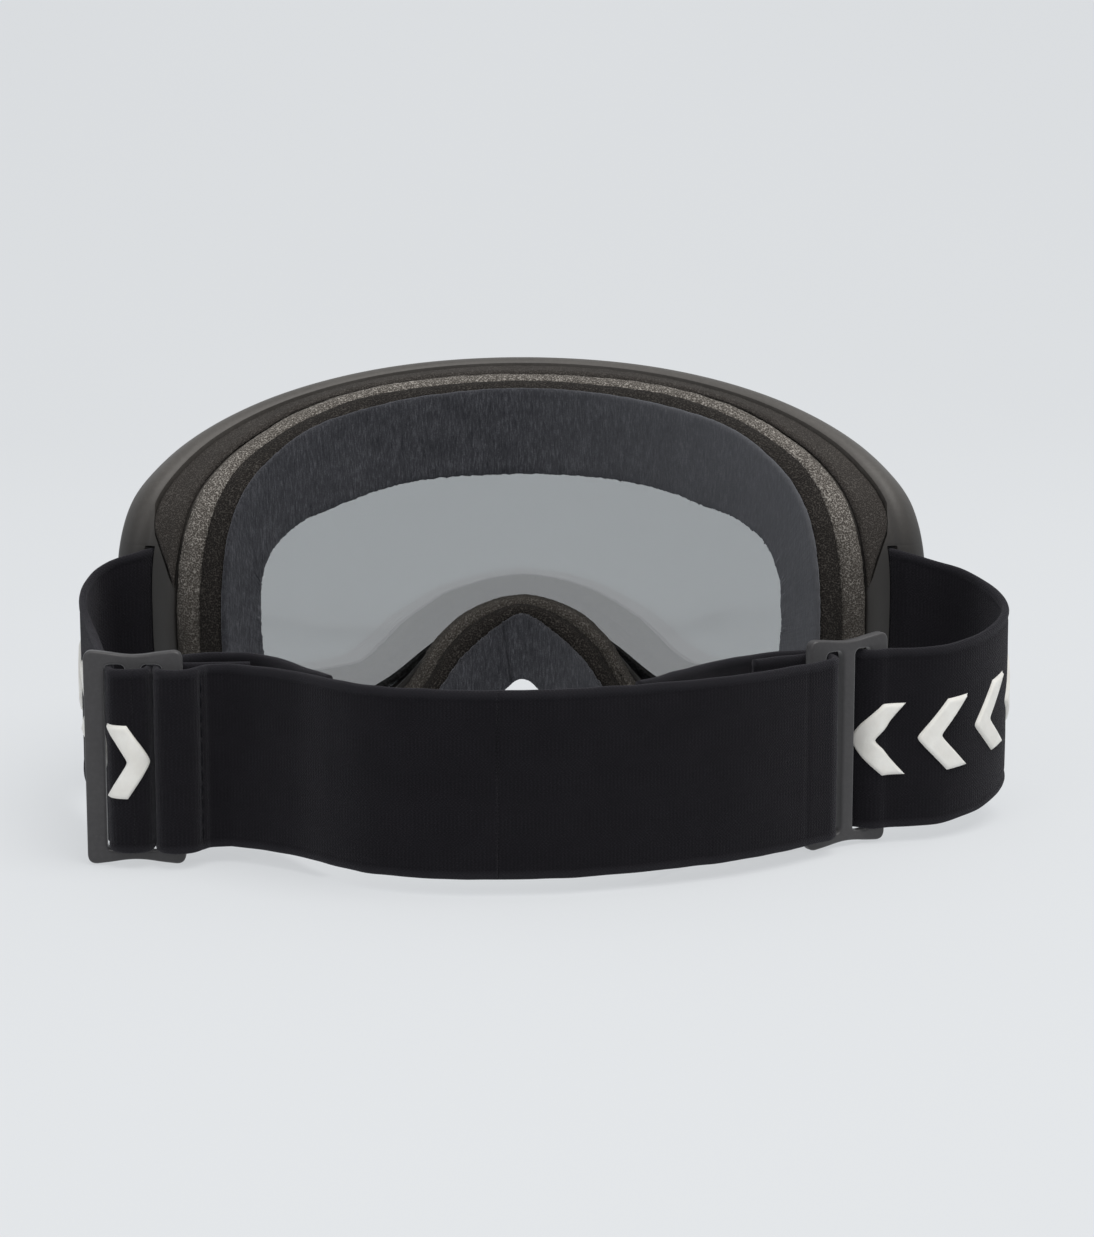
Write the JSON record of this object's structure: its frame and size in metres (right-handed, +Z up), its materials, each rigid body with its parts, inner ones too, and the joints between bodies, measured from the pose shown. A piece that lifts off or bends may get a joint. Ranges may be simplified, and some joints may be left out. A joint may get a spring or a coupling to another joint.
{
  "type": "ski goggles",
  "caption": "Ski goggles with a wrapped double lens, a foam-lined frame with a soft face layer, and a wide elastic head strap with sliders for its length.",
  "frame": {"origin": "centre of the bounding box at the level the goggles stand on", "axes": "+X to the wearer's left, +Y from the lens to the back of the strap, +Z up; the lens faces -Y"},
  "size_m": [0.2077, 0.1495, 0.0932],
  "materials": {
    "frame_plastic": "matte warm dark grey, flexible moulded plastic",
    "lens": "clear pale grey polycarbonate, polished",
    "gasket": "black closed-cell foam spacer",
    "vent_foam": "dark open-cell foam, fine grain",
    "foam_light": "grey-brown open-cell foam with light specks",
    "foam_dark": "near-black open-cell foam",
    "fleece": "blue-grey brushed fleece",
    "webbing": "black knitted elastic webbing",
    "slider_plastic": "satin dark grey moulded plastic",
    "silicone": "white raised silicone print"
  },
  "bodies": {
    "goggles": {"frame": "frame_plastic", "lens_outer": "lens", "lens_inner": "lens", "lens_gasket": "gasket", "vent_foam": "vent_foam", "face_foam_light": "foam_light", "face_foam_dark": "foam_dark", "face_fleece": "fleece", "strap_left": "webbing", "strap_right": "webbing", "strap_back": "webbing", "mark_left_1": "silicone", "mark_left_2": "silicone", "mark_left_3": "silicone", "mark_left_4": "silicone", "mark_right_1": "silicone", "mark_right_2": "silicone", "mark_right_3": "silicone", "mark_right_4": "silicone"},
    "slider_left": {"slider_left": "slider_plastic", "mark_left_5": "silicone"},
    "slider_right": {"slider_right": "slider_plastic", "mark_right_5": "silicone"}
  },
  "joints": [
    {"name": "slider_left_slide", "type": "slide", "parent": "goggles", "child": "slider_left", "axis": [-1, 0, 0], "range_m": [0, 0.018], "deforming": ["strap_left", "strap_back"]},
    {"name": "slider_right_slide", "type": "slide", "parent": "goggles", "child": "slider_right", "axis": [0.8387, 0.5446, 0], "range_m": [0, 0.018], "deforming": ["strap_right", "strap_back"]}
  ]
}
